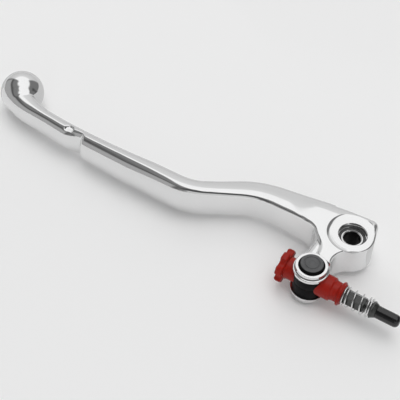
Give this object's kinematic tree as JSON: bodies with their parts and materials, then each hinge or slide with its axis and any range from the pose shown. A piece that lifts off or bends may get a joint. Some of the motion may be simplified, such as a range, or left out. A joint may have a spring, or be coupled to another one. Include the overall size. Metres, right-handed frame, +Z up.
{
  "type": "motorcycle clutch lever",
  "caption": "Ball-end hand lever for a hydraulic clutch, with pivot bushes, clevis barrel, star-wheel reach adjuster, return spring and push rod.",
  "frame": {"origin": "on the pivot axis, at mid height of the boss", "axes": "+Z up along the pivot axis; +X inboard along the push rod towards its nose; +Y forward, away from the handlebar grip"},
  "size_m": [0.2076, 0.0424, 0.0194],
  "materials": {
    "polished_aluminium": "forged and polished bright, machined faces at boss and ears",
    "bush_steel": "turned",
    "sleeve_steel": "ground",
    "black_plastic": "moulded, fine texture",
    "red_plastic": "moulded, satin gloss",
    "brass": "turned",
    "seal_rubber": "matt",
    "ring_steel": "spring steel",
    "spring_steel": "bright drawn wire",
    "phosphated_steel": "grey phosphate on drawn hexagon bar",
    "black_steel": "blackened and polished"
  },
  "bodies": {
    "lever": {"lever_forging": "polished_aluminium", "pivot_bush_upper": "bush_steel", "pivot_bush_lower": "bush_steel"},
    "sleeve": {"pivot_sleeve": "sleeve_steel"},
    "barrel": {"barrel_upper": "black_plastic", "barrel_lower": "black_plastic", "guide_collar": "red_plastic", "return_spring": "spring_steel"},
    "knob": {"adjuster_knob": "red_plastic", "adjuster_nut": "brass", "knob_oring": "seal_rubber", "retaining_ring": "ring_steel"},
    "rod": {"push_rod": "phosphated_steel", "push_rod_nose": "black_steel"}
  },
  "joints": [
    {"name": "sleeve_turn", "type": "hinge", "parent": "lever", "child": "sleeve", "pos_m": [0, 0, 0], "axis": [0, 0, 1], "continuous": true},
    {"name": "barrel_turn", "type": "hinge", "parent": "lever", "child": "barrel", "pos_m": [-0.0058, -0.0239, 0], "axis": [0, 0, 1], "range_deg": [-15, 15]},
    {"name": "knob_turn", "type": "hinge", "parent": "barrel", "child": "knob", "pos_m": [-0.0058, -0.0239, 0], "axis": [1, 0, 0], "range_deg": [-1080, 1080]},
    {"name": "rod_slide", "type": "slide", "parent": "barrel", "child": "rod", "axis": [1, 0, 0], "range_m": [-0.0024, 0.0024], "deforming": ["return_spring"]}
  ],
  "couplings": [
    {"joint": "knob_turn", "follows": "rod_slide", "rad_per_m": -7854}
  ]
}
